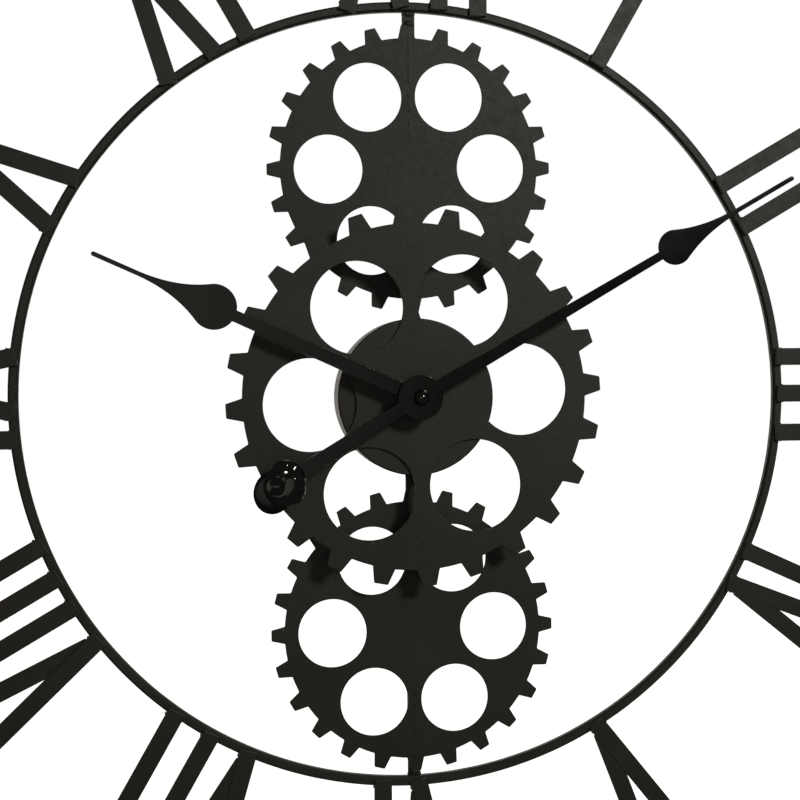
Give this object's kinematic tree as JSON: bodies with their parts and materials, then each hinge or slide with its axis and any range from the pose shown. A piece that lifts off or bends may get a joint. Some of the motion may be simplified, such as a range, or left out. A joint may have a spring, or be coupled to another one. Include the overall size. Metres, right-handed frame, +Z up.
{
  "type": "wall clock",
  "caption": "Large skeleton wall clock of flat iron bar: two rings joined by Roman numerals, welded gear plates on a backbone, a quartz movement and two spade hands.",
  "frame": {"origin": "centre of the whole clock's box: on the dial's axis, half-way between the wall plane and the front of the cap nut", "axes": "+Z up through twelve o'clock, +X to the right through three o'clock, the dial faces -Y and the wall is on the +Y side"},
  "size_m": [0.8, 0.047, 0.8],
  "materials": {
    "iron_paint": "satin black powder coat on mild steel, fine orange peel",
    "hand_paint": "satin black enamel",
    "gloss_black": "gloss black enamel",
    "black_plastic": "moulded ABS, fine spark-eroded texture",
    "rubber": "moulded rubber",
    "brass": "stamped and bright",
    "steel": "nickel-plated, satin",
    "acetal": "moulded acetal",
    "copper_wire": "enamelled winding wire",
    "magnet": "sintered and plated",
    "board": "solder-masked glass laminate",
    "battery_wrap": "printed sleeve, plain"
  },
  "bodies": {
    "frame": {"battery": "battery_wrap", "battery_contact": "steel", "battery_spring": "steel", "bottom_gear": "iron_paint", "bottom_strap": "iron_paint", "circuit_board": "board", "clamp_washer": "hand_paint", "coil": "copper_wire", "hanger_plate": "iron_paint", "hex_nut": "hand_paint", "inner_ring": "iron_paint", "middle_gear": "iron_paint", "movement_case": "black_plastic", "movement_cover": "black_plastic", "movement_housing": "iron_paint", "numeral_i_1i": "iron_paint", "numeral_ii_1i": "iron_paint", "numeral_ii_2i": "iron_paint", "numeral_iii_1i": "iron_paint", "numeral_iii_2i": "iron_paint", "numeral_iii_3i": "iron_paint", "numeral_iv_1i": "iron_paint", "numeral_iv_2v": "iron_paint", "numeral_ix_1i": "iron_paint", "numeral_ix_2x": "iron_paint", "numeral_v_1v": "iron_paint", "numeral_vi_1v": "iron_paint", "numeral_vi_2i": "iron_paint", "numeral_vii_1v": "iron_paint", "numeral_vii_2i": "iron_paint", "numeral_vii_3i": "iron_paint", "numeral_viii_1v": "iron_paint", "numeral_viii_2i": "iron_paint", "numeral_viii_3i": "iron_paint", "numeral_viii_4i": "iron_paint", "numeral_x_1x": "iron_paint", "numeral_xi_1x": "iron_paint", "numeral_xi_2i": "iron_paint", "numeral_xii_1x": "iron_paint", "numeral_xii_2i": "iron_paint", "numeral_xii_3i": "iron_paint", "outer_ring": "iron_paint", "quartz_crystal": "steel", "rubber_gasket": "rubber", "stator": "steel", "top_gear": "iron_paint", "top_strap": "iron_paint"},
    "minute": {"minute_hand": "hand_paint", "minute_arbor": "steel", "counterweight": "gloss_black", "cap_nut": "gloss_black"},
    "hour": {"hour_hand": "hand_paint", "hour_wheel": "acetal"},
    "intermediate": {"intermediate_wheel": "acetal"},
    "knob": {"setting_knob": "black_plastic"},
    "seconds": {"seconds_wheel": "acetal"},
    "third": {"third_wheel": "acetal"},
    "centre": {"centre_wheel": "brass"},
    "fifth": {"fifth_wheel": "acetal"},
    "rotor": {"rotor": "magnet"}
  },
  "joints": [
    {"name": "minute_turn", "type": "hinge", "parent": "frame", "child": "minute", "pos_m": [0, 0, 0], "axis": [0, 1, 0], "continuous": true},
    {"name": "hour_turn", "type": "hinge", "parent": "frame", "child": "hour", "pos_m": [0, 0, 0], "axis": [0, 1, 0], "continuous": true},
    {"name": "intermediate_turn", "type": "hinge", "parent": "frame", "child": "intermediate", "pos_m": [0, 0, 0.0105], "axis": [0, 1, 0], "continuous": true},
    {"name": "knob_turn", "type": "hinge", "parent": "frame", "child": "knob", "pos_m": [0.00525, 0, 0.01959], "axis": [0, 1, 0], "continuous": true},
    {"name": "seconds_turn", "type": "hinge", "parent": "frame", "child": "seconds", "pos_m": [0, 0, 0], "axis": [0, 1, 0], "continuous": true},
    {"name": "third_turn", "type": "hinge", "parent": "frame", "child": "third", "pos_m": [-0.0102, 0, 0], "axis": [0, 1, 0], "continuous": true},
    {"name": "centre_turn", "type": "hinge", "parent": "frame", "child": "centre", "pos_m": [0, 0, 0], "axis": [0, 1, 0], "continuous": true},
    {"name": "fifth_turn", "type": "hinge", "parent": "frame", "child": "fifth", "pos_m": [0.0072, 0, 0], "axis": [0, 1, 0], "continuous": true},
    {"name": "rotor_turn", "type": "hinge", "parent": "frame", "child": "rotor", "pos_m": [0.01308, 0, 0], "axis": [0, 1, 0], "continuous": true}
  ],
  "couplings": [
    {"joint": "intermediate_turn", "follows": "minute_turn", "ratio": -0.33333},
    {"joint": "hour_turn", "follows": "minute_turn", "ratio": 0.083333},
    {"joint": "knob_turn", "follows": "minute_turn", "ratio": 1},
    {"joint": "third_turn", "follows": "seconds_turn", "ratio": -0.125},
    {"joint": "centre_turn", "follows": "seconds_turn", "ratio": 0.016667},
    {"joint": "fifth_turn", "follows": "seconds_turn", "ratio": -5},
    {"joint": "rotor_turn", "follows": "seconds_turn", "ratio": 30}
  ]
}
